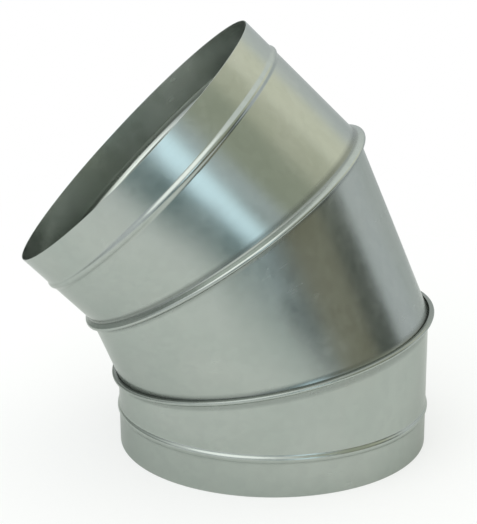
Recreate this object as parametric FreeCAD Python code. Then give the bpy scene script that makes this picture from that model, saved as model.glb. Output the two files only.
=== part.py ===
import FreeCAD, Part
import math
import os

from FreeCAD import Matrix, Placement, Rotation, Vector

# A 45 degree duct elbow rolled from galvanised sheet: two end gores and a middle gore,
# joined by folded lock seams that stand proud all round the two mitres.
# Millimetres. The elbow stands on its lower rim, centred on the origin, and bends toward -X.

SPIGOT_DIAMETER = 314.0
SHEET = 0.7
BEND_ANGLE = 45.0
CENTRELINE_RADIUS = 330.0
LOWER_COLLAR = 37.3
UPPER_COLLAR = 56.2

# Stop bead rolled into each collar.
BEAD_FROM_RIM = 37.5
BEAD_HEIGHT = 1.8
BEAD_WIDTH = 11.0
BEAD_TOP = 2.8

# Lock seam: the wall of an end gore bends out and folds over the flange of the middle gore.
SEAM_HEIGHT = 6.2
FOLD_RADIUS = 1.8
FOLD_SIDES = 3
FOLD_BEND = 3.0
LIP_ABOVE_WALL = 1.6
SEAM_CLEARANCE = 0.1

# Lengthwise lap of each rolled sheet, kept to the back of the elbow.
# The angles are about each gore's own axis, from the heel of the bend.
LAP_WIDTH = 11.0
LAP_RAMP = 7.0
LOWER_LAP_ANGLE = 78.0
MIDDLE_LAP_ANGLE = 102.0
UPPER_LAP_ANGLE = -84.0

GORES = 3
RADIUS = SPIGOT_DIAMETER / 2
MITRE = BEND_ANGLE / (2 * (GORES - 1))
HALF_GORE = CENTRELINE_RADIUS * math.tan(math.radians(MITRE))
LOWER_LENGTH = LOWER_COLLAR + HALF_GORE
UPPER_LENGTH = UPPER_COLLAR + HALF_GORE
STRETCH = 1 / math.cos(math.radians(MITRE))
CROWN_CENTRE = RADIUS + SEAM_HEIGHT - SHEET - FOLD_RADIUS
INNER_BEND = SHEET * (2 - math.sqrt(2))
FAR = 4 * RADIUS

AXIS = Vector(0, 0, 1)
ACROSS = Vector(0, 1, 0)


def spun(points):
    """Spin a closed outline of (radius, height) points about Z."""
    corners = [Vector(x, 0, z) for x, z in points]
    face = Part.Face(Part.makePolygon(corners + corners[:1]))
    return face.revolve(Vector(0, 0, 0), AXIS, 360)


def bow(radius, height, size):
    """Half round of a fold, in a few straight sides, bulging away from the axis."""
    points = []
    for side in range(FOLD_SIDES + 1):
        angle = math.pi * (side / FOLD_SIDES - 0.5)
        points.append((radius + size * math.cos(angle), height + size * math.sin(angle)))
    return points


def flare(wall, bend, level):
    """Bend where one face of a wall turns out into a mitre: a short cone from as far within the wall."""
    low = level - 2 * bend
    return [(0.0, low), (wall - bend, low), (wall + bend, level)]


def collar(inset, bottom, top):
    """Solid bounded by one face of a collar's sheet: inset 0 is its outside."""
    slope = math.atan2(BEAD_HEIGHT, (BEAD_WIDTH - BEAD_TOP) / 2)
    shift = inset * math.tan(slope / 2)
    foot = BEAD_WIDTH / 2 - shift
    crest = BEAD_TOP / 2 - shift
    wall = RADIUS - inset
    points = [
        (0.0, bottom),
        (wall, bottom),
        (wall, BEAD_FROM_RIM - foot),
        (wall + BEAD_HEIGHT, BEAD_FROM_RIM - crest),
        (wall + BEAD_HEIGHT, BEAD_FROM_RIM + crest),
        (wall, BEAD_FROM_RIM + foot),
        (wall, top),
        (0.0, top),
    ]
    return spun(points)


def mitre_place(length, up):
    """Placement that lays a disc on the mitre at a height on the axis, facing up or down."""
    if up:
        return Placement(Vector(0, 0, length), Rotation(ACROSS, -MITRE))
    return Placement(Vector(0, 0, -length), Rotation(ACROSS, MITRE + 180))


def on_mitre(shape, length, up=True):
    """Stretch a disc made about Z into the mitre's ellipse and lay it on the mitre."""
    stretch = Matrix()
    stretch.A11 = STRETCH
    placed = shape.transformGeometry(stretch)
    placed.Placement = mitre_place(length, up)
    return placed


def beyond_mitre(length, offset, up=True):
    """Everything past a plane parallel to the mitre, as a large block."""
    block = Part.makeBox(FAR, FAR, FAR, Vector(-FAR / 2, -FAR / 2, offset))
    block.Placement = mitre_place(length, up)
    return block


def lap(angle, first, last):
    """Lap of the rolled sheet on the outside: a stepped edge, and a ramp where it rises."""
    step = math.degrees(LAP_WIDTH / RADIUS)
    end = step + math.degrees(LAP_RAMP / RADIUS)
    sunk = RADIUS - SHEET / 2
    proud = RADIUS + SHEET

    def at(radius, turn):
        a = math.radians(angle + turn)
        return Vector(radius * math.cos(a), radius * math.sin(a), first)

    edges = [
        Part.makeLine(at(sunk, 0), at(proud, 0)),
        Part.Arc(at(proud, 0), at(proud, step / 2), at(proud, step)).toShape(),
        Part.makeLine(at(proud, step), at(sunk, end)),
        Part.Arc(at(sunk, end), at(sunk, end / 2), at(sunk, 0)).toShape(),
    ]
    return Part.Face(Part.Wire(edges)).extrude(Vector(0, 0, last - first))


def end_gore(length, lap_angle):
    """End gore standing on its rim: collar, stop bead, and a fold that hooks over the next gore."""
    top = length + RADIUS
    far_side = 2 * FOLD_RADIUS + SHEET
    past = far_side + SEAM_HEIGHT
    lip = RADIUS + LIP_ABOVE_WALL

    hook = flare(RADIUS, FOLD_BEND, -SHEET)
    hook += bow(CROWN_CENTRE, FOLD_RADIUS, FOLD_RADIUS + SHEET)
    hook += [(0.0, far_side)]
    outside = collar(0.0, 0.0, top).cut(beyond_mitre(length, 0.0))
    outside = outside.fuse(on_mitre(spun(hook), length))

    pocket = flare(RADIUS - SHEET, FOLD_BEND + INNER_BEND, 0.0)
    pocket += bow(CROWN_CENTRE, FOLD_RADIUS, FOLD_RADIUS)
    pocket += [(lip, 2 * FOLD_RADIUS), (lip, past), (0.0, past)]
    inside = collar(SHEET, -past, top).cut(beyond_mitre(length, FOLD_RADIUS))
    inside = inside.fuse(on_mitre(spun(pocket), length))

    strip = lap(lap_angle, BEAD_FROM_RIM, top)
    strip = strip.cut(beyond_mitre(length, -2 * SHEET))
    return outside.fuse(strip).cut(inside).removeSplitter()


def middle_gore(lap_angle):
    """Middle gore about its own centre: a plain wall with a flange in each mitre."""
    back = -SEAM_CLEARANCE - SHEET
    top = HALF_GORE + RADIUS
    past = 2 * SEAM_HEIGHT
    outside = Part.makeCylinder(RADIUS, 2 * top, Vector(0, 0, -top))
    inside = Part.makeCylinder(RADIUS - SHEET, 2 * top, Vector(0, 0, -top))
    strip = lap(lap_angle, -top, top)

    flange = [(0.0, back), (CROWN_CENTRE, back), (CROWN_CENTRE, SHEET), (0.0, SHEET)]
    mouth = [(0.0, -SEAM_CLEARANCE), (RADIUS + past, -SEAM_CLEARANCE), (RADIUS + past, past), (0.0, past)]
    for up in (True, False):
        outside = outside.cut(beyond_mitre(HALF_GORE, -SEAM_CLEARANCE / 2, up))
        outside = outside.fuse(on_mitre(spun(flange), HALF_GORE, up))
        inside = inside.cut(beyond_mitre(HALF_GORE, SEAM_HEIGHT, up))
        inside = inside.fuse(on_mitre(spun(mouth), HALF_GORE, up))
        strip = strip.cut(beyond_mitre(HALF_GORE, back - SHEET, up))
    return outside.fuse(strip).cut(inside).removeSplitter()


def heading(angle):
    """Direction of the duct's axis after it has turned by an angle."""
    return Rotation(ACROSS, -angle).multVec(AXIS)


lower_end = end_gore(LOWER_LENGTH, LOWER_LAP_ANGLE)

first_mitre = AXIS * LOWER_LENGTH
second_mitre = first_mitre + heading(2 * MITRE) * (2 * HALF_GORE)
middle = middle_gore(MIDDLE_LAP_ANGLE)
middle.Placement = Placement((first_mitre + second_mitre) / 2, Rotation(ACROSS, -2 * MITRE))

upper_rim = second_mitre + heading(BEND_ANGLE) * UPPER_LENGTH
turned_over = Rotation(ACROSS, 180 - BEND_ANGLE).multiply(Rotation(AXIS, 180))
upper_end = end_gore(UPPER_LENGTH, UPPER_LAP_ANGLE)
upper_end.Placement = Placement(upper_rim, turned_over)

os.makedirs("parts", exist_ok=True)
for name, shape in (
    ("lower_end_gore", lower_end),
    ("middle_gore", middle),
    ("upper_end_gore", upper_end),
):
    shape.Solids[0].exportStep(f"parts/{name}.step")
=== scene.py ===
"""Dressed model of a 45 degree segmented duct elbow rolled from galvanised sheet.

Two end gores and a middle gore, joined by folded lock seams, stand on the lower rim. Each gore is a
closed outline of its sheet, rolled round and mitred by one Geometry Nodes tree. Lengths are in metres.
"""

import logging
import math
from dataclasses import dataclass
from enum import Enum
from typing import Any

import bpy
from bpy.types import Material, Mesh, Node, NodeSocket as Socket, NodeTree, Object
from mathutils import Matrix, Vector


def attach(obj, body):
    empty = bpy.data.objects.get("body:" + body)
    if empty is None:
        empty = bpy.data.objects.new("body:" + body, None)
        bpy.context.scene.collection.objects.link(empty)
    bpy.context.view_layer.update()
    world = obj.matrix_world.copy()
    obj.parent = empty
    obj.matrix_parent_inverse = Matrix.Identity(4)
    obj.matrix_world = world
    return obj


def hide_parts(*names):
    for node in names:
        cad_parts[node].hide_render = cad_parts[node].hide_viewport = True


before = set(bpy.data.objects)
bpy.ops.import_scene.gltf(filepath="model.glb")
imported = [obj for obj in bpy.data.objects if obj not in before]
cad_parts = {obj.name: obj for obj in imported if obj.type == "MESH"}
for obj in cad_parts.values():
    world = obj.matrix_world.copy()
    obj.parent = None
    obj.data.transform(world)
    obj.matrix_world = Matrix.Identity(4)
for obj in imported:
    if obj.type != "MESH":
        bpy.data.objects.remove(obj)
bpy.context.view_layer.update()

MM = 0.001
NOISE_MEAN = 0.5
WHITE = (1.0, 1.0, 1.0)
BODY = "root"

Colour = Place = tuple[float, float, float]
Spot = tuple[float, float]

log = logging.getLogger("duct_elbow")


class Seat(Enum):
    """Where a gore sits in the elbow, by the name of the solid it stands for."""

    LOWER = "lower_end_gore"
    MIDDLE = "middle_gore"
    UPPER = "upper_end_gore"


class Mark(Enum):
    """Values that a sheet keeps at each point, by attribute name."""

    RADIUS = "sheet_radius"
    HEIGHT = "sheet_height"
    TURN = "turn"
    REACH = "mitre_reach"
    SHIFT = "mitre_shift"
    FREE = "free_wall"
    LAP = "lap_cover"
    LAP_FOOT = "lap_foot"
    # Share of painted shade: darkening painted into the seam corners, fold ledges, lap foot and inner bead
    # grooves.
    GRIME = "grime"
    INSIDE = "inner_face"
    ROLLED = "rolled"


@dataclass(frozen=True)
class ElbowSizes:
    """Driving sizes of the elbow, and what follows from them."""

    spigot_diameter: float = 314.0 * MM
    sheet: float = 0.7 * MM
    bend_angle: float = math.radians(45.0)
    centreline_radius: float = 330.0 * MM
    lower_collar: float = 37.3 * MM
    upper_collar: float = 56.2 * MM
    gores: int = 3

    bead_from_rim: float = 37.5 * MM
    bead_height: float = 1.8 * MM
    bead_width: float = 11.0 * MM

    seam_height: float = 6.2 * MM
    fold_radius: float = 1.8 * MM
    fold_bend: float = 3.0 * MM
    flange_bend: float = 2.6 * MM
    flange_sweep: float = 8.0 * MM
    lip_above_wall: float = 1.6 * MM
    seam_clearance: float = 0.1 * MM
    cut_edge: float = 0.2 * MM

    lap_width: float = 11.0 * MM
    lap_ramp: float = 7.0 * MM

    @property
    def radius(self) -> float:
        """Outside radius of the wall."""
        return self.spigot_diameter / 2

    @property
    def bore(self) -> float:
        """Inside radius of the wall."""
        return self.radius - self.sheet

    @property
    def mitre(self) -> float:
        """Angle between a mitre and the square end of a gore."""
        return self.bend_angle / (2 * (self.gores - 1))

    @property
    def half_gore(self) -> float:
        """Half the length of the middle gore along the duct's axis."""
        return self.centreline_radius * math.tan(self.mitre)

    @property
    def crown_centre(self) -> float:
        """Distance from the axis to the centre of a fold's round."""
        return self.radius + self.seam_height - self.sheet - self.fold_radius

    def heading(self, turn: float) -> Vector:
        """Direction of the duct's axis after it has turned by an angle."""
        return Vector((-math.sin(turn), 0.0, math.cos(turn)))


@dataclass(frozen=True)
class Fineness:
    """Sides of the rounds and rows of the straight runs in a section, on its outer and inner face."""

    rim: int = 5
    collar: int = 4
    bead_outer: int = 6
    bead_inner: int = 5
    end_wall_outer: int = 24
    end_wall_inner: int = 14
    middle_wall_outer: int = 34
    middle_wall_inner: int = 18
    bend_outer: int = 14
    bend_inner: int = 12
    flank: int = 3
    fold_outer: int = 16
    fold_inner: int = 10
    lip: int = 1
    lip_end: int = 8
    flange: int = 1
    flange_end: int = 6


class NodeBench:
    """Adds and links nodes in one tree, with a short call for each."""

    MIX_INPUTS = (0, 6, 7)
    MIX_OUTPUT = 2

    def __init__(self, tree: NodeTree) -> None:
        """Keep the tree that the nodes go into."""
        self.tree = tree

    def add(self, kind: str, inputs: dict[Any, Any] | None = None, **settings: Any) -> Node:
        """Add a node, set its properties and feed its inputs.

        Args:
            kind: Type name of the node.
            inputs: Values or sockets, by the name or number of the input they go to.
            settings: Properties of the node.

        Returns:
            The new node.
        """
        node = self.tree.nodes.new(kind)
        for name, value in settings.items():
            setattr(node, name, value)
        for key, value in (inputs or {}).items():
            self.feed(node.inputs[key], value)
        return node

    def out(self, kind: str, inputs: dict[Any, Any] | None = None, **settings: Any) -> Socket:
        """Add a node in the same way, for its first output."""
        return self.add(kind, inputs, **settings).outputs[0]

    def feed(self, socket: Socket, value: Any) -> None:
        """Link a socket to an input, or set the input to a constant.

        Args:
            socket: The input.
            value: A socket to link, or a constant; a colour comes without its alpha.
        """
        if isinstance(value, Socket):
            self.tree.links.new(value, socket)
        elif socket.type == "RGBA":
            socket.default_value = (*value, 1.0)
        else:
            socket.default_value = value

    def math(self, operation: str, *values: Any) -> Socket:
        """One step of arithmetic, as a socket."""
        return self.out("ShaderNodeMath", dict(enumerate(values)), operation=operation)

    def times(self, first: Any, second: Any) -> Socket:
        """Product of two numbers, as a socket."""
        return self.math("MULTIPLY", first, second)

    def ramp(self, value: Any, low: Any, high: Any, start: Any = 0.0, end: Any = 1.0) -> Socket:
        """Smooth step of a value from one range to another, held at both ends."""
        inputs = {"Value": value, "From Min": low, "From Max": high, "To Min": start, "To Max": end}
        return self.out("ShaderNodeMapRange", inputs, interpolation_type="SMOOTHSTEP")

    def noise(self, where: Socket, scale: float, detail: float) -> Socket:
        """Cloudy values between 0 and 1 over a place."""
        return self.out("ShaderNodeTexNoise", {"Vector": where, "Scale": scale, "Detail": detail})

    def mix(self, share: Any, first: Any, second: Any, blend: str = "MIX") -> Socket:
        """Mix two colours, by how far the second one acts on the first and in what way."""
        inputs = dict(zip(self.MIX_INPUTS, (share, first, second)))
        return self.add("ShaderNodeMix", inputs, data_type="RGBA", blend_type=blend).outputs[self.MIX_OUTPUT]

    def vector(self, x: Any, y: Any, z: Any) -> Socket:
        """Three numbers as one vector socket."""
        return self.out("ShaderNodeCombineXYZ", {"X": x, "Y": y, "Z": z})

    def split(self, vector: Socket) -> tuple[Socket, Socket, Socket]:
        """The three numbers of a vector socket."""
        return tuple(self.add("ShaderNodeSeparateXYZ", {"Vector": vector}).outputs)


class ShapeTree:
    """A Geometry Nodes tree with named inputs that turns a guide mesh into a finished plain mesh."""

    def __init__(self, name: str, counts: tuple[str, ...], measures: tuple[str, ...]) -> None:
        """Make an empty tree.

        Args:
            name: Name of the tree.
            counts: Names of the inputs that are whole numbers.
            measures: Names of the inputs that are sizes, angles and shares.
        """
        self.tree = bpy.data.node_groups.new(name, "GeometryNodeTree")
        self.bench = NodeBench(self.tree)
        self.identifiers: dict[str, str] = {}
        self.socket("Geometry", "Geometry")
        self.tree.interface.new_socket("Geometry", in_out="OUTPUT", socket_type="NodeSocketGeometry")
        for label in counts:
            self.socket(label, "Int")
        for label in measures:
            self.socket(label, "Float")
        self.socket("Finish", "Material")
        self.given = self.bench.add("NodeGroupInput").outputs

    def socket(self, label: str, kind: str) -> None:
        """Give the tree a named input."""
        socket = self.tree.interface.new_socket(label, in_out="INPUT", socket_type=f"NodeSocket{kind}")
        self.identifiers[label] = socket.identifier

    def close(self, geometry: Socket) -> None:
        """End the tree: real meshes in place of instances, then the finish.

        Args:
            geometry: Geometry to end with.
        """
        real = self.bench.out("GeometryNodeRealizeInstances", {"Geometry": geometry})
        inputs = {"Geometry": real, "Material": self.given["Finish"]}
        dressed = self.bench.out("GeometryNodeSetMaterial", inputs)
        self.bench.add("NodeGroupOutput", {"Geometry": dressed})

    def position(self) -> tuple[Socket, Socket, Socket]:
        """The place of each point, as three fields."""
        return self.bench.split(self.bench.out("GeometryNodeInputPosition"))

    def read(self, mark: Mark) -> Socket:
        """A mark of the geometry, as a field."""
        return self.bench.out("GeometryNodeInputNamedAttribute", {"Name": mark.value}, data_type="FLOAT")

    def keep(self, geometry: Socket, mark: Mark, value: Socket, kind: str = "FLOAT") -> Socket:
        """Store a value at every point, and give the geometry on."""
        inputs = {"Geometry": geometry, "Name": mark.value, "Value": value}
        return self.bench.out("GeometryNodeStoreNamedAttribute", inputs, data_type=kind, domain="POINT")

    def run(self, guide: Mesh, name: str, values: dict[str, Any], place: Matrix) -> Object:
        """Shape a guide mesh into a plain object at the origin, on the elbow's one body and in its slot.

        Args:
            guide: Mesh that the tree starts from.
            name: Name of the finished piece.
            values: Value of each named input.
            place: Where the piece sits in the elbow.

        Returns:
            The finished object, with its place in its mesh.
        """
        piece = bpy.data.objects.new(name, guide)
        bpy.context.scene.collection.objects.link(piece)
        modifier = piece.modifiers.new(self.tree.name, "NODES")
        modifier.node_group = self.tree
        for label, value in values.items():
            modifier[self.identifiers[label]] = value
        bpy.context.view_layer.update()
        shaped = piece.evaluated_get(bpy.context.evaluated_depsgraph_get())
        mesh = bpy.data.meshes.new_from_object(shaped)
        piece.modifiers.clear()
        mesh.name = name
        mesh.materials.clear()
        mesh.materials.append(values["Finish"])
        mesh.transform(place)
        piece.data = mesh
        bpy.data.meshes.remove(guide)
        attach(piece, BODY)
        return piece


class RolledSheetTree(ShapeTree):
    """Rolls the outline of a sheet round its axis, laps its edge, waves its wall and cuts the mitres."""

    MOST_COLUMNS = 1000
    WAVE_DETAIL = 1.0

    def __init__(self) -> None:
        """Build the tree."""
        lap = ("Lap Angle", "Lap Turn", "Lap Ramp Turn", "Lap Height", "Lap Edge Turn", "Lap Shade")
        wave = ("Wave Height", "Wave Length", "Seed")
        super().__init__("Rolled sheet", ("Columns",), ("Mitre", "Sharp Angle", *lap, *wave))
        self.close(self.soften(self.form(self.roll())))

    def roll(self) -> Socket:
        """Sweep the outline along a ring of columns that starts at the edge of the lap.

        Returns:
            The swept mesh, whose points know their outline and their turn.
        """
        bench, given = self.bench, self.given
        radius, _, height = self.position()
        outline = self.keep(given["Geometry"], Mark.RADIUS, radius)
        outline = self.keep(outline, Mark.HEIGHT, height)
        outline = bench.out("GeometryNodeMeshToCurve", {"Mesh": outline})

        columns, edge = given["Columns"], given["Lap Edge Turn"]
        index = bench.out("GeometryNodeInputIndex")
        share = bench.math("DIVIDE", index, bench.math("SUBTRACT", columns, 1.0))
        whole = bench.math("SUBTRACT", math.tau, bench.times(edge, 2.0))
        last = bench.math("COMPARE", share, 1.0, 1 / (2 * self.MOST_COLUMNS))
        ring = bench.out("GeometryNodeCurvePrimitiveCircle", {"Resolution": columns}, mode="RADIUS")
        ring = self.keep(ring, Mark.TURN, bench.math("MULTIPLY_ADD", share, whole, edge))
        ring = self.keep(ring, Mark.LAP_FOOT, last)
        swept = bench.out("GeometryNodeCurveToMesh", {"Curve": ring, "Profile Curve": outline})
        return bench.out("GeometryNodeFlipFaces", {"Mesh": swept})

    def form(self, sheet: Socket) -> Socket:
        """Move every point to its place on the rolled, lapped and mitred sheet.

        Args:
            sheet: The swept mesh.

        Returns:
            The sheet in its shape, with its painted shade and its rolled coordinates.
        """
        bench, given = self.bench, self.given
        turn = self.read(Mark.TURN)
        flat = self.read(Mark.RADIUS)
        height = self.read(Mark.HEIGHT)
        cover = self.read(Mark.LAP)
        angle = bench.math("ADD", turn, given["Lap Angle"])
        cosine = bench.math("COSINE", angle)
        sine = bench.math("SINE", angle)
        around = bench.vector(bench.times(flat, cosine), bench.times(flat, sine), height)

        ramp_end = bench.math("ADD", given["Lap Turn"], given["Lap Ramp Turn"])
        lap = bench.ramp(turn, given["Lap Turn"], ramp_end, given["Lap Height"], 0.0)
        lapped = bench.math("ADD", flat, bench.times(lap, cover))
        radius = bench.math("ADD", lapped, self.wave(around))

        x = bench.times(radius, cosine)
        y = bench.times(radius, sine)
        slope = bench.times(bench.math("TANGENT", given["Mitre"]), x)
        z = bench.math("MULTIPLY_ADD", self.read(Mark.REACH), slope, height)
        lean = bench.times(self.read(Mark.SHIFT), bench.math("SINE", given["Mitre"]))
        place = bench.vector(bench.math("SUBTRACT", x, lean), y, z)

        # Painted shade along the foot of the lap's edge, joined with the painted shade of the seams.
        soil = bench.times(bench.times(self.read(Mark.LAP_FOOT), cover), given["Lap Shade"])
        sheet = self.keep(sheet, Mark.GRIME, bench.math("MAXIMUM", soil, self.read(Mark.GRIME)))
        sheet = self.keep(sheet, Mark.ROLLED, around, "FLOAT_VECTOR")
        return bench.out("GeometryNodeSetPosition", {"Geometry": sheet, "Position": place})

    def wave(self, around: Socket) -> Socket:
        """Let the free part of the wall wave a little.

        Args:
            around: Places on the rolled sheet before it is mitred.

        Returns:
            How far each point moves out.
        """
        bench, given = self.bench, self.given
        inputs = {
            "Vector": around,
            "W": given["Seed"],
            "Scale": bench.math("DIVIDE", 1.0, given["Wave Length"]),
            "Detail": self.WAVE_DETAIL,
        }
        noise = bench.out("ShaderNodeTexNoise", inputs, noise_dimensions="4D")
        wave = bench.times(bench.math("SUBTRACT", noise, NOISE_MEAN), given["Wave Height"])
        return bench.times(wave, self.read(Mark.FREE))

    def soften(self, sheet: Socket) -> Socket:
        """Shade the sheet smooth, but keep the cut edge of the lap sharp.

        Args:
            sheet: The sheet in its shape.

        Returns:
            The shaded sheet.
        """
        bench = self.bench
        smooth = bench.out("GeometryNodeSetShadeSmooth", {"Geometry": sheet}, domain="FACE")
        angle = bench.out("GeometryNodeInputMeshEdgeAngle")
        sharp = bench.math("GREATER_THAN", angle, self.given["Sharp Angle"])
        inputs = {"Geometry": smooth, "Selection": sharp, "Shade Smooth": False}
        return bench.out("GeometryNodeSetShadeSmooth", inputs, domain="EDGE")


class WeldTree(ShapeTree):
    """Sets a row of spot welds along a guide line: shallow dished buttons that stand out along X."""

    SEGMENTS = 20
    RINGS = 10
    DISH_FROM = 0.3
    DISH_TO = 0.8
    LEAST_INPUT = 2
    MOST_INPUT = 3
    DRAWN_OUTPUT = 1

    def __init__(self) -> None:
        """Build the tree."""
        super().__init__("Spot welds", ("Seed",), ("Pitch", "Radius", "Height", "Dish", "Wander"))
        bench, given = self.bench, self.given
        line = bench.out("GeometryNodeMeshToCurve", {"Mesh": given["Geometry"]})
        inputs = {"Curve": line, "Length": given["Pitch"]}
        spots = bench.out("GeometryNodeResampleCurve", inputs, mode="LENGTH")
        least = bench.times(given["Wander"], -1.0)
        inputs = {"Seed": given["Seed"], self.LEAST_INPUT: least, self.MOST_INPUT: given["Wander"]}
        wander = bench.add("FunctionNodeRandomValue", inputs, data_type="FLOAT").outputs[self.DRAWN_OUTPUT]
        aside = bench.vector(0.0, wander, 0.0)
        points = bench.out("GeometryNodeSetPosition", {"Geometry": spots, "Offset": aside})
        turned = bench.out("FunctionNodeEulerToRotation", {0: (0.0, math.pi / 2, 0.0)})
        inputs = {"Points": points, "Instance": self.button(), "Rotation": turned}
        self.close(bench.out("GeometryNodeInstanceOnPoints", inputs))

    def button(self) -> Socket:
        """Shape one weld: a squashed ball whose top is dished in the middle.

        Returns:
            The mesh of the weld, which stands along Z.
        """
        bench, given = self.bench, self.given
        inputs = {"Segments": self.SEGMENTS, "Rings": self.RINGS, "Radius": 1.0}
        ball = bench.out("GeometryNodeMeshUVSphere", inputs)
        x, y, z = self.position()
        squares = bench.math("ADD", bench.times(x, x), bench.times(y, y))
        dish = bench.ramp(bench.math("SQRT", squares), self.DISH_FROM, self.DISH_TO, given["Dish"], 1.0)
        rise = bench.times(bench.times(z, given["Height"]), dish)
        place = bench.vector(bench.times(x, given["Radius"]), bench.times(y, given["Radius"]), rise)
        button = bench.out("GeometryNodeSetPosition", {"Geometry": ball, "Position": place})
        return bench.out("GeometryNodeSetShadeSmooth", {"Geometry": button}, domain="FACE")


class Outline:
    """Closed section of a sheet, drawn as runs and arcs of (radius, height), with its marks."""

    SUPPORT = 0.4 * MM
    MOST_SUPPORT = 0.25
    DRAWN = (Mark.REACH, Mark.SHIFT, Mark.FREE, Mark.LAP, Mark.GRIME, Mark.INSIDE)

    def __init__(self) -> None:
        """Start an empty outline."""
        self.points: list[tuple[float, float, dict[Mark, float]]] = []

    def add(self, radius: float, height: float, **marks: float) -> None:
        """Add one point with the marks that aren't zero there."""
        self.points.append((radius, height, {Mark[name.upper()]: value for name, value in marks.items()}))

    def mesh(self, name: str) -> Mesh:
        """Draw the outline as a ring of edges in the XZ plane.

        Args:
            name: Name of the mesh.

        Returns:
            The mesh, with one attribute for each mark.
        """
        count = len(self.points)
        mesh = bpy.data.meshes.new(name)
        places = [(radius, 0.0, height) for radius, height, _ in self.points]
        mesh.from_pydata(places, [(i, (i + 1) % count) for i in range(count)], [])
        for mark in self.DRAWN:
            values = [marks.get(mark, 0.0) for _, _, marks in self.points]
            mesh.attributes.new(mark.value, "FLOAT", "POINT").data.foreach_set("value", values)
        return mesh


def arc(centre: Spot, radius: float, start: float, end: float, steps: int) -> list[Spot]:
    """Points on an arc, both ends included; angles in degrees."""
    return sweep(centre, radius, radius, start, end, steps)


def sweep(centre: Spot, across: float, along: float, start: float, end: float, steps: int) -> list[Spot]:
    """Points on part of an ellipse, both ends included.

    Args:
        centre: Centre of the ellipse.
        across: Its half width away from the axis.
        along: Its half height along the axis.
        start: Angle of the first point, in degrees.
        end: Angle of the last point, in degrees.
        steps: Number of sides.

    Returns:
        The points, in order.
    """
    points = []
    for step in range(steps + 1):
        angle = math.radians(start + (end - start) * step / steps)
        points.append((centre[0] + across * math.cos(angle), centre[1] + along * math.sin(angle)))
    return points


def run(start: Spot, end: Spot, rows: int) -> list[Spot]:
    """Points inside a straight run: a support close to each end, and rows that crowd towards the ends.

    Args:
        start: Point before the run.
        end: Point after the run.
        rows: Number of rows between the supports.

    Returns:
        The points, in order, without the two ends.
    """
    length = math.dist(start, end)
    near = min(Outline.SUPPORT / length, Outline.MOST_SUPPORT)
    inner = [(1 - math.cos(math.pi * (row + 1) / (rows + 1))) / 2 for row in range(rows)]
    shares = [near] + [near + (1 - 2 * near) * share for share in inner] + [1 - near]
    return [tuple(a + (b - a) * share for a, b in zip(start, end)) for share in shares]


def smooth_step(value: float) -> float:
    """Smooth step of a number from 0 to 1."""
    value = min(max(value, 0.0), 1.0)
    return value * value * (3 - 2 * value)


@dataclass(frozen=True)
class GalvanisedFinish:
    """Zinc coated sheet: faint crystals, fine rolling lines, pale bloom, a satin gloss, painted shade in the
    seams and grooves, and a paler inner face that is painted light.
    """

    name: str = "galvanised_sheet"
    zinc: Colour = (0.385, 0.42, 0.39)
    bloom: Colour = (0.41, 0.44, 0.41)
    # Paler zinc on the inner face: painted light that lifts the dim inside of the duct.
    painted_inner_light: Colour = (0.60, 0.64, 0.595)
    grazing: Colour = (0.74, 0.75, 0.74)
    # Colour of the painted shade in the seam corners, fold ledges, lap foot and bead grooves.
    grime: Colour = (0.08, 0.09, 0.08)
    gloss: float = 0.20
    dull: float = 0.26
    cloud: float = 55.0 * MM
    cloud_detail: float = 3.0
    haze_from: float = 0.35
    haze_to: float = 0.7
    crystal: float = 7.0 * MM
    crystal_contrast: float = 0.02
    crystal_roughness: float = 0.02
    line_pitch: float = 0.8 * MM
    lines_round: float = 12.0
    line_detail: float = 4.0
    line_roughness: float = 0.04
    line_relief: float = 0.02
    line_depth: float = 0.1 * MM
    # Rougher and less metallic under the painted shade, which dulls the highlights there.
    shade_roughness: float = 0.1
    shade_metal: float = 0.2

    def build(self) -> Material:
        """Make the material.

        Returns:
            A node material that reads the sheet's own rolled coordinates.
        """
        material = bpy.data.materials.new(self.name)
        material.use_nodes = True
        bench = NodeBench(material.node_tree)
        shader = material.node_tree.nodes["Principled BSDF"]
        rolled = bench.add("ShaderNodeAttribute", attribute_name=Mark.ROLLED.value).outputs["Vector"]
        soil = bench.add("ShaderNodeAttribute", attribute_name=Mark.GRIME.value).outputs["Fac"]
        inside = bench.add("ShaderNodeAttribute", attribute_name=Mark.INSIDE.value).outputs["Fac"]

        cloud = bench.noise(rolled, 1 / self.cloud, self.cloud_detail)
        haze = bench.ramp(cloud, self.haze_from, self.haze_to)
        crystals = bench.add("ShaderNodeTexVoronoi", {"Vector": rolled, "Scale": 1 / self.crystal})
        facet = bench.out("ShaderNodeSeparateColor", {0: crystals.outputs["Color"]})
        stretch = (self.lines_round, self.lines_round, 1 / self.line_pitch)
        stretched = bench.out("ShaderNodeVectorMath", {0: rolled, 1: stretch}, operation="MULTIPLY")
        lines = bench.noise(stretched, 1.0, self.line_detail)

        tone = bench.mix(haze, self.zinc, self.bloom)
        tint = bench.ramp(facet, 0.0, 1.0, 1 - self.crystal_contrast, 1 + self.crystal_contrast)
        tone = bench.mix(1.0, tone, tint, "MULTIPLY")
        # Painted light: the inner face takes the paler zinc; then the painted shade of the seams and
        # grooves.
        tone = bench.mix(inside, tone, self.painted_inner_light)
        bench.feed(shader.inputs["Base Color"], bench.mix(soil, tone, self.grime))

        rough = bench.ramp(haze, 0.0, 1.0, self.gloss, self.dull)
        for texture, share in ((lines, self.line_roughness), (facet, self.crystal_roughness)):
            rough = bench.math("MULTIPLY_ADD", bench.math("SUBTRACT", texture, NOISE_MEAN), share, rough)
        # Roughness and metal follow the painted shade.
        bench.feed(shader.inputs["Roughness"], bench.math("MULTIPLY_ADD", soil, self.shade_roughness, rough))
        bench.feed(shader.inputs["Metallic"], bench.math("MULTIPLY_ADD", soil, -self.shade_metal, 1.0))
        bench.feed(shader.inputs["Specular Tint"], self.grazing)

        inputs = {"Strength": self.line_relief, "Distance": self.line_depth, "Height": lines}
        bench.feed(shader.inputs["Normal"], bench.out("ShaderNodeBump", inputs))
        return material


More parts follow.
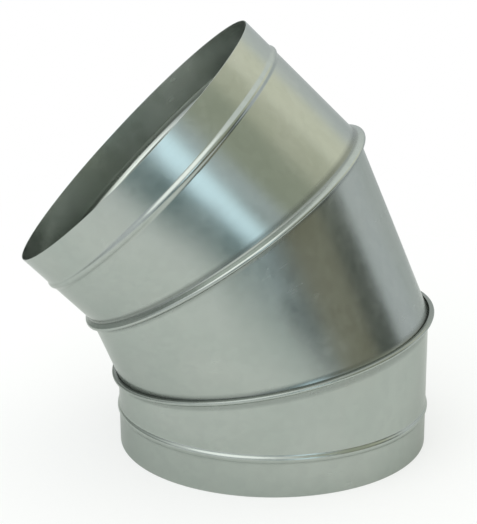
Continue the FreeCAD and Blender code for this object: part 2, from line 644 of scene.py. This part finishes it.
@dataclass(frozen=True)
class WeldFinish:
    """Spot weld: zinc burnt to a dull, grainy grey."""

    name: str = "weld_scale"
    pale: Colour = (0.34, 0.35, 0.34)
    burnt: Colour = (0.22, 0.215, 0.20)
    grain: float = 1.2 * MM
    grain_detail: float = 2.0
    roughness: float = 0.45

    def build(self) -> Material:
        """Make the material.

        Returns:
            A node material on object coordinates.
        """
        material = bpy.data.materials.new(self.name)
        material.use_nodes = True
        bench = NodeBench(material.node_tree)
        shader = material.node_tree.nodes["Principled BSDF"]
        where = bench.add("ShaderNodeTexCoord").outputs["Object"]
        grain = bench.noise(where, 1 / self.grain, self.grain_detail)
        bench.feed(shader.inputs["Base Color"], bench.mix(grain, self.pale, self.burnt))
        bench.feed(shader.inputs["Metallic"], 1.0)
        bench.feed(shader.inputs["Roughness"], self.roughness)
        return material


@dataclass(frozen=True)
class FloorFinish:
    """Pale floor: matt with a fine speckle, lifted towards white, and clear towards its edge."""

    radius: float
    mirror_lift: float
    name: str = "pale_floor"
    colour: Colour = (0.89, 0.90, 0.89)
    camera_lift: float = 0.6
    clear_from: float = 0.15
    clear_to: float = 0.95
    speckles: float = 300.0
    speckle_detail: float = 2.0
    speckle_contrast: float = 0.015

    def build(self) -> Material:
        """Make the material.

        Returns:
            A node material on object coordinates.
        """
        material = bpy.data.materials.new(self.name)
        material.use_nodes = True
        material.node_tree.nodes.clear()
        bench = NodeBench(material.node_tree)
        where = bench.add("ShaderNodeTexCoord").outputs["Object"]
        away = bench.add("ShaderNodeVectorMath", {0: where}, operation="LENGTH").outputs["Value"]
        fade = bench.ramp(away, self.clear_from * self.radius, self.clear_to * self.radius)
        speckle = bench.noise(where, self.speckles, self.speckle_detail)
        tone = bench.ramp(speckle, 0.0, 1.0, 1 - self.speckle_contrast, 1 + self.speckle_contrast)
        colour = bench.mix(1.0, self.colour, tone, "MULTIPLY")
        lit = bench.out("ShaderNodeBsdfDiffuse", {"Color": colour})

        path = bench.add("ShaderNodeLightPath").outputs
        mirrored = bench.math("ADD", path["Is Glossy Ray"], path["Is Transmission Ray"])
        share = bench.times(path["Is Camera Ray"], self.camera_lift)
        share = bench.math("MULTIPLY_ADD", mirrored, self.mirror_lift, share)
        white = bench.out("ShaderNodeEmission", {"Color": WHITE, "Strength": 1.0})
        shown = bench.out("ShaderNodeMixShader", {0: share, 1: lit, 2: white})
        clear = bench.out("ShaderNodeBsdfTransparent")
        faded = bench.out("ShaderNodeMixShader", {0: fade, 1: shown, 2: clear})
        bench.add("ShaderNodeOutputMaterial", {"Surface": faded})
        return material


@dataclass(frozen=True)
class PaintedShade:
    """Painted shade along a seam, darkening its corners: how dark it is, where it is darkest and how far it
    spreads.
    """

    depth: float = 0.53
    thinning: float = 1.4
    centre: float = 4.7 * MM
    core: float = 1.5 * MM
    reach: float = 4.8 * MM

    def share(self, out: float, gap: float) -> float:
        """Share of painted shade at a distance out from the wall and at a gap along the axis from the seam.
        """
        away = math.hypot(out * self.thinning, gap - self.centre)
        return self.depth * (1 - smooth_step((away - self.core) / (self.reach - self.core)))


@dataclass
class Gore:
    """A rolled and mitred sheet of the elbow, with the lap of its edge and the welds along it."""

    sizes: ElbowSizes
    seat: Seat
    lap_angle: float
    place: Matrix
    seed: float
    # Painted shade along the gore's seams.
    soil: PaintedShade
    fine: Fineness = Fineness()
    columns: int = 288
    lap_edge: float = 0.05 * MM
    # Depth of the painted shade along the foot of the lap.
    lap_shade: float = 0.6
    wave_height: float = 0.5 * MM
    wave_length: float = 90.0 * MM
    sharp_angle: float = math.radians(40.0)
    weld_pitch: float = 20.0 * MM
    weld_radius: float = 2.4 * MM
    weld_height: float = 0.22 * MM
    weld_dish: float = 0.45
    weld_wander: float = 0.7 * MM
    weld_margin: float = 16.0 * MM

    @property
    def weld_turn(self) -> float:
        """Angle of the line of welds, in the middle of the lap."""
        return self.lap_angle + self.sizes.lap_width / 2 / self.sizes.radius

    def outline(self) -> Outline:
        """Section of the sheet, in the gore's own frame."""
        raise NotImplementedError

    def weld_line(self) -> tuple[float, float]:
        """Heights on the lap between which the welds lie."""
        raise NotImplementedError

    def mitre_height(self, length: float) -> float:
        """Height of a mitre on the line of welds, from the height of its centre."""
        return length + self.sizes.radius * math.cos(self.weld_turn) * math.tan(self.sizes.mitre)

    def grime(self, radius: float, gap: float) -> float:
        """Share of painted shade on the outside, at a distance from the axis and from the seam."""
        return self.soil.share(radius - self.sizes.radius, gap)

    def bend(self, outline: Outline, length: float, side: int, rows: list[Spot], inside: bool) -> None:
        """Add points of a bend out of the wall.

        Args:
            outline: The outline to add to.
            length: Height of the mitre's centre.
            side: 1 for the upper mitre, -1 for the lower one.
            rows: Points, with their heights from the mitre, outward.
            inside: Whether the points are on the inner face.
        """
        for radius, height in rows:
            # Painted shade in the bend's corner, on the outer face only.
            soil = 0.0 if inside else self.grime(radius, abs(height))
            outline.add(radius, side * (length + height), reach=side, grime=soil, inside=float(inside))

    def build(self, tree: RolledSheetTree, finish: Material) -> Object:
        """Roll the sheet.

        Args:
            tree: The tree that rolls it.
            finish: Material of the sheet.

        Returns:
            The sheet, which stands for its solid.
        """
        sizes = self.sizes
        values = {
            "Columns": self.columns,
            "Mitre": sizes.mitre,
            "Lap Angle": self.lap_angle,
            "Lap Turn": sizes.lap_width / sizes.radius,
            "Lap Ramp Turn": sizes.lap_ramp / sizes.radius,
            "Lap Height": sizes.sheet,
            "Lap Edge Turn": self.lap_edge / sizes.radius,
            "Lap Shade": self.lap_shade,
            "Wave Height": self.wave_height,
            "Wave Length": self.wave_length,
            "Sharp Angle": self.sharp_angle,
            "Seed": self.seed,
            "Finish": finish,
        }
        name = f"{self.seat.value}_sheet"
        piece = tree.run(self.outline().mesh(name), name, values, self.place)
        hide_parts(self.seat.value)
        return piece

    def dress(self, tree: WeldTree, finish: Material) -> Object:
        """Weld the lap.

        Args:
            tree: The tree that sets the welds.
            finish: Material of the welds.

        Returns:
            The row of welds.
        """
        name = f"{self.seat.value}_welds"
        low, high = self.weld_line()
        face = self.sizes.radius + self.sizes.sheet
        guide = bpy.data.meshes.new(name)
        guide.from_pydata([(face, 0.0, low), (face, 0.0, high)], [(0, 1)], [])
        values = {
            "Pitch": self.weld_pitch,
            "Radius": self.weld_radius,
            "Height": self.weld_height,
            "Dish": self.weld_dish,
            "Wander": self.weld_wander,
            "Seed": int(self.seed),
            "Finish": finish,
        }
        return tree.run(guide, name, values, self.place @ Matrix.Rotation(self.weld_turn, 4, "Z"))


@dataclass
class EndGore(Gore):
    """Gore with a plain collar, a stop bead, and a fold that hooks over the flange of the middle gore."""

    length: float = 0.0
    rake: float = 1.3 * MM
    # Painted shade on the ledge of the fold, and in the groove under the bead on the inside.
    ledge_shade: float = 0.55
    groove_shade: float = 0.45

    @property
    def fold_start(self) -> float:
        """Distance along the axis from the seam to where the wall begins to bend into the fold."""
        return self.sizes.sheet + self.sizes.fold_bend + self.rake

    @property
    def wall_top(self) -> float:
        """Height at which the wall ends, on the axis."""
        return self.length - self.fold_start

    @property
    def flank(self) -> float:
        """Slope of the fold's flank against the wall.

        Returns:
            The angle in degrees; 90 stands straight out.
        """
        sizes = self.sizes
        rounds = sizes.fold_bend + sizes.sheet + sizes.fold_radius
        out = sizes.crown_centre - sizes.radius - sizes.fold_bend
        along = rounds + self.rake
        return math.degrees(math.atan2(out, along) + math.asin(rounds / math.hypot(out, along)))

    def weld_line(self) -> tuple[float, float]:
        """Heights on the lap between which the welds lie."""
        low = self.sizes.bead_from_rim + self.sizes.bead_width / 2 + self.weld_margin
        return low, self.mitre_height(self.length) - self.weld_margin

    def wall(self, outline: Outline, rows: list[Spot], outside: bool) -> None:
        """Add points of the collar and wall, which take up the slope of the mitre above the bead.

        Args:
            outline: The outline to add to.
            rows: Points, with their heights from the rim.
            outside: Whether the points are on the outer face.
        """
        sizes = self.sizes
        foot = sizes.bead_from_rim + sizes.bead_width / 2
        top = self.wall_top
        for radius, height in rows:
            share = min(max((height - foot) / (top - foot), 0.0), 1.0)
            free = math.sin(math.pi * share) ** 2
            if outside:
                lap = 1.0 if sizes.bead_from_rim < height < top - 2 * Outline.SUPPORT else 0.0
                # Painted shade towards the seam.
                soil = self.grime(radius, self.length - height)
                outline.add(radius, height, reach=share, free=free, lap=lap, grime=soil)
            else:
                # Painted shade in the groove under the bead.
                sunk = (radius - sizes.bore) / sizes.bead_height
                soil = self.groove_shade * smooth_step(2 * sunk)
                outline.add(radius, height, reach=share, free=free, grime=soil, inside=1.0)

    def bead(self, inset: float, steps: int) -> list[Spot]:
        """Draw one face of the bead.

        Args:
            inset: Depth of the face under the outside of the sheet.
            steps: Number of sides of each foot, and of half the crest.

        Returns:
            The points, from the lower foot to the upper foot.
        """
        sizes = self.sizes
        half = sizes.bead_width / 2
        turn = 2 * math.degrees(math.atan(sizes.bead_height / half))
        bow = half / (2 * math.sin(math.radians(turn)))
        low, mid, high = sizes.bead_from_rim - half, sizes.bead_from_rim, sizes.bead_from_rim + half
        lower = arc((sizes.radius + bow, low), bow + inset, 180, 180 - turn, steps)
        crest = arc((sizes.radius + sizes.bead_height - bow, mid), bow - inset, -turn, turn, 2 * steps)
        upper = arc((sizes.radius + bow, high), bow + inset, 180 + turn, 180, steps)
        return lower + crest[1:-1] + upper

    def outline(self) -> Outline:
        """Draw the sheet: up the outside, round the fold and its lip, and down the inside.

        Returns:
            The outline, with its heights from the rim.
        """
        sizes, fine = self.sizes, self.fine
        edge, sheet, bend = sizes.cut_edge, sizes.sheet, sizes.fold_bend
        outer, bore, top = sizes.radius, sizes.bore, self.wall_top
        corner = (outer + bend, -self.fold_start)
        turn = 180 - self.flank
        climb = arc(corner, bend, 180, turn, fine.bend_outer)
        descent = arc(corner, bend + sheet, turn, 180, fine.bend_inner)

        outline = Outline()
        rim = arc((outer - edge, edge), edge, -90, 0, fine.rim)
        bead = self.bead(0.0, fine.bead_outer)
        rows = rim + run(rim[-1], bead[0], fine.collar) + bead
        self.wall(outline, rows + run(bead[-1], (outer, top), fine.end_wall_outer), True)
        self.bend(outline, self.length, 1, climb, False)
        self.fold(outline, climb[-1], descent[0])
        self.bend(outline, self.length, 1, descent, True)
        rim = arc((bore + edge, edge), edge, 180, 270, fine.rim)
        bead = self.bead(sheet, fine.bead_inner)[::-1]
        rows = bead + run(bead[-1], rim[0], fine.collar) + rim
        self.wall(outline, run((bore, top), bead[0], fine.end_wall_inner) + rows, False)
        return outline

    def fold(self, outline: Outline, start: Spot, end: Spot) -> None:
        """Add the flank, the round of the fold, the lip that comes back down, and the flank's inside.

        Args:
            outline: The outline to add to.
            start: Last point of the bend on the outside, with its height from the seam.
            end: First point of the bend on the inside.
        """
        sizes, fine = self.sizes, self.fine
        sheet, fold = sizes.sheet, sizes.fold_radius
        centre = (sizes.crown_centre, fold)
        lip = (sizes.radius + sizes.lip_above_wall + sheet / 2, 2 * fold + sheet / 2)

        outer_round = arc(centre, fold + sheet, -self.flank, 90, fine.fold_outer)
        inner_round = arc(centre, fold, 90, -self.flank, fine.fold_inner)
        lip_end = arc(lip, sheet / 2, 90, 270, fine.lip_end)
        rows = run(start, outer_round[0], fine.flank) + outer_round
        rows += run(outer_round[-1], lip_end[0], fine.lip) + lip_end
        rows += run(lip_end[-1], inner_round[0], fine.lip) + inner_round
        rows += run(inner_round[-1], end, fine.flank)
        rise = outer_round[0][0] - start[0]
        for radius, height in rows:
            lean = 1.0 if height > fold else smooth_step((radius - start[0]) / rise)
            drop = lean * height * (1 - math.cos(sizes.mitre))
            # Painted shade on the ledge of the fold and in its corners.
            ledge = self.ledge_shade * smooth_step((height - fold) / (fold + sheet))
            soil = max(self.grime(radius, abs(height)), ledge)
            outline.add(radius, self.length + height - drop, reach=1.0, shift=lean * height, grime=soil)


@dataclass
class MiddleGore(Gore):
    """Plain gore with a flange turned out at each mitre."""

    @property
    def flange_face(self) -> float:
        """Height of the outer face of a flange, on the axis."""
        return self.sizes.half_gore - self.sizes.seam_clearance

    @property
    def wall_top(self) -> float:
        """Height at which the wall ends, on the axis."""
        return self.flange_face - self.sizes.sheet - self.sizes.flange_sweep

    def weld_line(self) -> tuple[float, float]:
        """Heights on the lap between which the welds lie."""
        end = self.mitre_height(self.sizes.half_gore) - self.weld_margin
        return -end, end

    def wall(self, outline: Outline, rows: list[Spot], outside: bool) -> None:
        """Add points of the wall, which takes up the slope of both mitres.

        Args:
            outline: The outline to add to.
            rows: Points, with their heights from the middle.
            outside: Whether the points are on the outer face.
        """
        top = self.wall_top
        for radius, height in rows:
            share = height / top
            free = math.cos(math.pi * share / 2) ** 2
            if outside:
                lap = 1.0 if abs(height) < top - 2 * Outline.SUPPORT else 0.0
                # Painted shade towards the seams.
                soil = self.grime(radius, self.sizes.half_gore - abs(height))
                outline.add(radius, height, reach=share, free=free, lap=lap, grime=soil)
            else:
                outline.add(radius, height, reach=share, free=free, inside=1.0)

    def outline(self) -> Outline:
        """Draw the sheet: up the outside, round one flange, down the inside, round the other.

        Returns:
            The outline, with its heights from the middle.
        """
        sizes, fine = self.sizes, self.fine
        sheet, bend, along = sizes.sheet, sizes.flange_bend, sizes.flange_sweep
        outer, bore = sizes.radius, sizes.bore
        length, top = self.flange_face, self.wall_top
        corner = (outer + bend, -sheet - along)
        tip = arc((sizes.crown_centre - sheet / 2, -sheet / 2), sheet / 2, -90, 90, fine.flange_end)
        up = sweep(corner, bend, along, 180, 90, fine.bend_outer)
        down = sweep(corner, bend + sheet, along + sheet, 90, 180, fine.bend_inner)
        under = up + run(up[-1], tip[0], fine.flange) + tip
        over = run(tip[-1], down[0], fine.flange) + down

        outline = Outline()
        self.wall(outline, run((outer, -top), (outer, top), fine.middle_wall_outer), True)
        self.bend(outline, length, 1, under, False)
        self.bend(outline, length, 1, over, True)
        self.wall(outline, run((bore, top), (bore, -top), fine.middle_wall_inner), False)
        self.bend(outline, length, -1, over[::-1], True)
        self.bend(outline, length, -1, under[::-1], False)
        return outline


@dataclass
class Elbow:
    """The whole elbow: three gores in their places."""

    sizes: ElbowSizes
    lower_lap: float = math.radians(78.0)
    middle_lap: float = math.radians(102.0)
    upper_lap: float = math.radians(-84.0)
    lower_seed: float = 3.0
    middle_seed: float = 11.0
    upper_seed: float = 23.0
    # Painted shade along each gore's seams.
    lower_shade: PaintedShade = PaintedShade(depth=0.3)
    middle_shade: PaintedShade = PaintedShade(depth=0.42, thinning=3.0, centre=2.0 * MM, core=2.5 * MM, reach=8.0 * MM)
    upper_shade: PaintedShade = PaintedShade()
    lower_rake: float = 0.0

    def gores(self) -> list[Gore]:
        """Put the gores in their places.

        Returns:
            The three gores, from the floor up.
        """
        sizes = self.sizes
        lower_length = sizes.lower_collar + sizes.half_gore
        upper_length = sizes.upper_collar + sizes.half_gore
        first_mitre = Vector((0.0, 0.0, lower_length))
        second_mitre = first_mitre + sizes.heading(2 * sizes.mitre) * (2 * sizes.half_gore)
        upper_rim = second_mitre + sizes.heading(sizes.bend_angle) * upper_length

        centre = (first_mitre + second_mitre) / 2
        turned = Matrix.Translation(centre) @ Matrix.Rotation(-2 * sizes.mitre, 4, "Y")
        over = Matrix.Rotation(math.pi - sizes.bend_angle, 4, "Y") @ Matrix.Rotation(math.pi, 4, "Z")
        upside = Matrix.Translation(upper_rim) @ over
        lower = EndGore(
            sizes, Seat.LOWER, self.lower_lap, Matrix.Identity(4), self.lower_seed, self.lower_shade,
            length=lower_length, rake=self.lower_rake,
        )
        middle = MiddleGore(sizes, Seat.MIDDLE, self.middle_lap, turned, self.middle_seed, self.middle_shade)
        upper = EndGore(
            sizes, Seat.UPPER, self.upper_lap, upside, self.upper_seed, self.upper_shade, length=upper_length,
        )
        return [lower, middle, upper]

    def build(self) -> list[Object]:
        """Roll and weld every gore.

        Returns:
            The finished pieces, from the floor up.
        """
        roll = RolledSheetTree()
        weld = WeldTree()
        zinc = GalvanisedFinish().build()
        scale = WeldFinish().build()
        pieces = []
        for gore in self.gores():
            pieces.append(gore.build(roll, zinc))
            pieces.append(gore.dress(weld, scale))
        return pieces


@dataclass(frozen=True)
class Card:
    """A soft patch of the studio, by its bearing from the camera's side and its height, in degrees."""

    HALF_TURN = 180.0

    name: str
    bearing: float
    height: float
    half_width: float
    half_height: float
    soft: float
    colour: Colour

    def cover(self, bench: NodeBench, bearing: Socket, height: Socket) -> Socket:
        """How far the card covers the studio in a direction.

        Args:
            bench: Bench of the studio's tree.
            bearing: Bearing of the direction, in degrees.
            height: Height of the direction, in degrees.

        Returns:
            Share of the card, 1 within it and 0 outside it.
        """
        apart = bench.math("ABSOLUTE", bench.math("SUBTRACT", bearing, self.bearing))
        aside = bench.math("PINGPONG", apart, self.HALF_TURN)
        above = bench.math("ABSOLUTE", bench.math("SUBTRACT", height, self.height))
        wide = self.edge(bench, aside, self.half_width)
        tall = self.edge(bench, above, self.half_height)
        return bench.times(wide, tall)

    def edge(self, bench: NodeBench, away: Socket, half: float) -> Socket:
        """Soft edge of the card at half its width or height."""
        return bench.ramp(away, half - self.soft / 2, half + self.soft / 2, 1.0, 0.0)


@dataclass
class Studio:
    """Plain studio: a white surround, a pale floor, soft light and the camera."""

    camera_bearing: float = math.radians(-4.239)
    camera_height: float = math.radians(15.841)
    camera_roll: float = math.radians(-0.41)
    camera_distance: float = 1302.7 * MM
    camera_lens: float = 89.31
    aim: Place = (-33.74 * MM, 0.0, 183.25 * MM)
    lamp_place: Place = (-1.2, -1.4, 1.9)
    lamp_aim: Place = (0.0, 0.0, 0.2)
    lamp_size: float = 2.6
    lamp_power: float = 14.0
    floor_radius: float = 1.5
    floor_sides: int = 96
    mirror_lift: float = 0.1
    ceiling: Colour = (1.17, 1.20, 1.17)
    wall: Colour = (0.78, 0.82, 0.87)
    wall_to: float = -4.0
    ceiling_from: float = 40.0
    cards: tuple[Card, ...] = (
        Card("far wall", 180.0, -10.0, 52.0, 17.0, 20.0, (0.755, 0.80, 0.80)),
        Card("dim wall at left", -118.0, 0.0, 40.0, 20.0, 20.0, (0.355, 0.39, 0.365)),
        Card("khaki wall at right", 54.0, 25.0, 35.0, 19.0, 16.0, (0.49, 0.52, 0.39)),
        Card("pale panel", 37.0, 14.5, 8.0, 7.0, 9.0, (0.76, 0.86, 0.94)),
        Card("warm panel", 93.0, 33.0, 16.0, 13.0, 14.0, (0.83, 0.82, 0.63)),
        Card("warm light", 122.0, 31.0, 17.0, 12.0, 16.0, (1.24, 1.20, 0.97)),
        Card("blue shade", 20.0, -11.0, 28.0, 19.0, 10.0, (0.20, 0.30, 0.32)),
        Card("brown shade", 54.5, -6.0, 27.5, 16.0, 10.0, (0.235, 0.22, 0.135)),
        Card("dark blue shade", 36.5, -9.0, 10.5, 8.0, 8.0, (0.04, 0.08, 0.10)),
        Card("dark shade", 87.7, -4.0, 11.5, 14.0, 8.0, (0.045, 0.06, 0.045)),
        Card("bright panel", 22.8, 7.5, 8.5, 9.5, 7.0, (1.63, 2.08, 2.38)),
    )

    def build(self) -> None:
        """Set up the surround, the floor, the lamp, the camera and the view."""
        self.surround()
        self.floor()
        self.lamp()
        self.camera()
        bpy.context.scene.view_settings.view_transform = "Standard"

    def camera(self) -> None:
        """Place the camera where the elbow is seen from."""
        turned = Matrix.Rotation(self.camera_bearing, 4, "Z")
        raised = Matrix.Rotation(math.pi / 2 - self.camera_height, 4, "X")
        back = Matrix.Translation((0.0, 0.0, self.camera_distance))
        rolled = Matrix.Rotation(self.camera_roll, 4, "Z")
        data = bpy.data.cameras.new("camera")
        data.lens = self.camera_lens
        camera = bpy.data.objects.new("camera", data)
        camera.matrix_world = Matrix.Translation(self.aim) @ turned @ raised @ back @ rolled
        bpy.context.scene.collection.objects.link(camera)
        bpy.context.scene.camera = camera

    def surround(self) -> None:
        """White to the camera, and a soft studio with a few cards to everything else."""
        world = bpy.data.worlds.new("studio")
        bpy.context.scene.world = world
        world.use_nodes = True
        world.node_tree.nodes.clear()
        bench = NodeBench(world.node_tree)
        ray = bench.add("ShaderNodeTexCoord").outputs["Generated"]
        inputs = {"Vector": ray, "Angle": -self.camera_bearing}
        turned = bench.out("ShaderNodeVectorRotate", inputs, rotation_type="Z_AXIS")
        x, y, z = bench.split(turned)
        bearing = bench.math("DEGREES", bench.math("ARCTAN2", x, bench.times(y, -1.0)))
        height = bench.math("DEGREES", bench.math("ARCSINE", z))

        colour = bench.mix(bench.ramp(height, self.wall_to, self.ceiling_from), self.wall, self.ceiling)
        for card in self.cards:
            colour = bench.mix(card.cover(bench, bearing, height), colour, card.colour)
            colour.node.label = card.name

        room = bench.out("ShaderNodeBackground", {"Color": colour, "Strength": 1.0})
        white = bench.out("ShaderNodeBackground", {"Color": WHITE, "Strength": 1.0})
        path = bench.add("ShaderNodeLightPath").outputs
        seen = bench.math("ADD", path["Is Camera Ray"], path["Is Transmission Ray"])
        seen = bench.math("MULTIPLY_ADD", path["Is Glossy Ray"], self.mirror_lift, seen)
        mixed = bench.out("ShaderNodeMixShader", {0: seen, 1: room, 2: white})
        bench.add("ShaderNodeOutputWorld", {"Surface": mixed})

    def floor(self) -> None:
        """A round pale floor that fades into the white surround and keeps the soft shadow."""
        turns = [math.tau * side / self.floor_sides for side in range(self.floor_sides)]
        ring = [Vector((math.cos(turn), math.sin(turn), 0.0)) * self.floor_radius for turn in turns]
        mesh = bpy.data.meshes.new("floor")
        mesh.from_pydata(ring, [], [list(range(self.floor_sides))])
        mesh.materials.append(FloorFinish(self.floor_radius, self.mirror_lift).build())
        floor = bpy.data.objects.new("floor", mesh)
        bpy.context.scene.collection.objects.link(floor)

    def lamp(self) -> None:
        """One broad lamp overhead for the soft shadow."""
        data = bpy.data.lights.new("overhead", "AREA")
        data.shape = "DISK"
        data.size = self.lamp_size
        data.energy = self.lamp_power
        lamp = bpy.data.objects.new("overhead", data)
        lamp.location = self.lamp_place
        towards = Vector(self.lamp_aim) - lamp.location
        lamp.rotation_euler = towards.to_track_quat("-Z", "Y").to_euler()
        bpy.context.scene.collection.objects.link(lamp)


def main() -> None:
    """Build the elbow and the studio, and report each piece."""
    logging.basicConfig(level=logging.INFO, format="%(name)s %(message)s")
    for piece in Elbow(ElbowSizes()).build():
        log.info("%s: %d faces", piece.name, len(piece.data.polygons))
    Studio().build()


if __name__ == "__main__":
    main()
